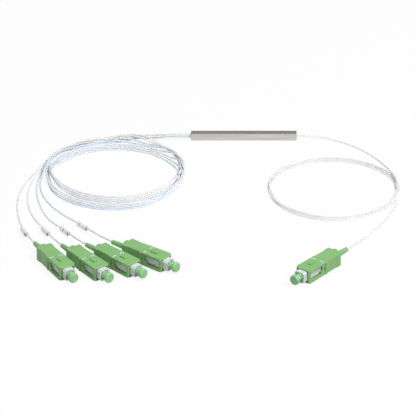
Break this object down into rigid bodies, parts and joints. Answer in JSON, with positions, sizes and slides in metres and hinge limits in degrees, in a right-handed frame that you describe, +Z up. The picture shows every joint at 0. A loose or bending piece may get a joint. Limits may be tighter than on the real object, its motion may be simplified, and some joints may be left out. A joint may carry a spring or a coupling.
{
  "type": "plc fibre splitter",
  "caption": "Square steel tube splitter: an input fibre and a fan of output fibres in loose coils, each ending in a green angled push-pull plug with a dust cap.",
  "frame": {"origin": "middle of the steel tube's underside", "axes": "+X along the tube towards the input fibre, +Y away from the plugs, +Z up"},
  "size_m": [0.1979, 0.1683, 0.0079],
  "materials": {
    "tube_steel": "drawn and lightly brushed stainless steel",
    "seal_white": "matt silicone seal",
    "glass": "polished silica",
    "bare_glass": "clear coated fibre",
    "jacket_white": "pale translucent loose tube, 0.9 mm",
    "marker_white": "translucent white sleeve",
    "grip_green": "moulded green plastic, fine satin",
    "frame_white": "moulded white plastic",
    "ceramic": "polished zirconia",
    "holder_metal": "turned nickel-plated metal",
    "spring_steel": "drawn spring wire",
    "boot_green": "soft green boot",
    "cap_green": "translucent green soft plastic"
  },
  "bodies": {
    "root": {"steel_tube": "tube_steel", "input_end_plug": "seal_white", "output_end_plug": "seal_white", "plc_chip": "glass", "input_fibre_block": "glass", "output_fibre_block": "glass", "bare_fibres": "bare_glass", "output_leads": "jacket_white", "input_lead": "jacket_white", "output_coil": "jacket_white", "input_coil": "jacket_white", "input_tail": "jacket_white", "output_tail_1": "jacket_white", "output_tail_2": "jacket_white", "output_tail_3": "jacket_white", "output_tail_4": "jacket_white", "marker_1": "marker_white", "marker_2": "marker_white", "marker_3": "marker_white", "marker_4": "marker_white", "input_plug_frame": "frame_white", "input_spring": "spring_steel", "input_stop_ring": "holder_metal", "input_boot": "boot_green", "output_1_plug_frame": "frame_white", "output_1_spring": "spring_steel", "output_1_stop_ring": "holder_metal", "output_1_boot": "boot_green", "output_2_plug_frame": "frame_white", "output_2_spring": "spring_steel", "output_2_stop_ring": "holder_metal", "output_2_boot": "boot_green", "output_3_plug_frame": "frame_white", "output_3_spring": "spring_steel", "output_3_stop_ring": "holder_metal", "output_3_boot": "boot_green", "output_4_plug_frame": "frame_white", "output_4_spring": "spring_steel", "output_4_stop_ring": "holder_metal", "output_4_boot": "boot_green"},
    "input_grip_body": {"input_grip": "grip_green"},
    "input_ferrule_body": {"input_ferrule": "ceramic", "input_ferrule_holder": "holder_metal"},
    "input_cap_body": {"input_dust_cap": "cap_green"},
    "output_1_grip_body": {"output_1_grip": "grip_green"},
    "output_1_ferrule_body": {"output_1_ferrule": "ceramic", "output_1_ferrule_holder": "holder_metal"},
    "output_1_cap_body": {"output_1_dust_cap": "cap_green"},
    "output_2_grip_body": {"output_2_grip": "grip_green"},
    "output_2_ferrule_body": {"output_2_ferrule": "ceramic", "output_2_ferrule_holder": "holder_metal"},
    "output_2_cap_body": {"output_2_dust_cap": "cap_green"},
    "output_3_grip_body": {"output_3_grip": "grip_green"},
    "output_3_ferrule_body": {"output_3_ferrule": "ceramic", "output_3_ferrule_holder": "holder_metal"},
    "output_3_cap_body": {"output_3_dust_cap": "cap_green"},
    "output_4_grip_body": {"output_4_grip": "grip_green"},
    "output_4_ferrule_body": {"output_4_ferrule": "ceramic", "output_4_ferrule_holder": "holder_metal"},
    "output_4_cap_body": {"output_4_dust_cap": "cap_green"}
  },
  "joints": [
    {"name": "input_grip_pull", "type": "slide", "parent": "root", "child": "input_grip_body", "axis": [0.6374, 0.7705, 0], "range_m": [0, 0.002]},
    {"name": "input_ferrule_press", "type": "slide", "parent": "root", "child": "input_ferrule_body", "axis": [0.6374, 0.7705, 0], "range_m": [0, 0.001], "stiffness_N_per_m": 1500, "deforming": ["input_spring"]},
    {"name": "input_cap_pull", "type": "slide", "parent": "input_ferrule_body", "child": "input_cap_body", "axis": [-0.6374, -0.7705, 0], "range_m": [0, 0.012]},
    {"name": "output_1_grip_pull", "type": "slide", "parent": "root", "child": "output_1_grip_body", "axis": [-0.7705, 0.6374, 0], "range_m": [0, 0.002]},
    {"name": "output_1_ferrule_press", "type": "slide", "parent": "root", "child": "output_1_ferrule_body", "axis": [-0.7705, 0.6374, 0], "range_m": [0, 0.001], "stiffness_N_per_m": 1500, "deforming": ["output_1_spring"]},
    {"name": "output_1_cap_pull", "type": "slide", "parent": "output_1_ferrule_body", "child": "output_1_cap_body", "axis": [0.7705, -0.6374, 0], "range_m": [0, 0.012]},
    {"name": "output_2_grip_pull", "type": "slide", "parent": "root", "child": "output_2_grip_body", "axis": [-0.6896, 0.7242, 0], "range_m": [0, 0.002]},
    {"name": "output_2_ferrule_press", "type": "slide", "parent": "root", "child": "output_2_ferrule_body", "axis": [-0.6896, 0.7242, 0], "range_m": [0, 0.001], "stiffness_N_per_m": 1500, "deforming": ["output_2_spring"]},
    {"name": "output_2_cap_pull", "type": "slide", "parent": "output_2_ferrule_body", "child": "output_2_cap_body", "axis": [0.6896, -0.7242, 0], "range_m": [0, 0.012]},
    {"name": "output_3_grip_pull", "type": "slide", "parent": "root", "child": "output_3_grip_body", "axis": [-0.585, 0.8111, 0], "range_m": [0, 0.002]},
    {"name": "output_3_ferrule_press", "type": "slide", "parent": "root", "child": "output_3_ferrule_body", "axis": [-0.585, 0.8111, 0], "range_m": [0, 0.001], "stiffness_N_per_m": 1500, "deforming": ["output_3_spring"]},
    {"name": "output_3_cap_pull", "type": "slide", "parent": "output_3_ferrule_body", "child": "output_3_cap_body", "axis": [0.585, -0.8111, 0], "range_m": [0, 0.012]},
    {"name": "output_4_grip_pull", "type": "slide", "parent": "root", "child": "output_4_grip_body", "axis": [-0.4924, 0.8704, 0], "range_m": [0, 0.002]},
    {"name": "output_4_ferrule_press", "type": "slide", "parent": "root", "child": "output_4_ferrule_body", "axis": [-0.4924, 0.8704, 0], "range_m": [0, 0.001], "stiffness_N_per_m": 1500, "deforming": ["output_4_spring"]},
    {"name": "output_4_cap_pull", "type": "slide", "parent": "output_4_ferrule_body", "child": "output_4_cap_body", "axis": [0.4924, -0.8704, 0], "range_m": [0, 0.012]}
  ]
}
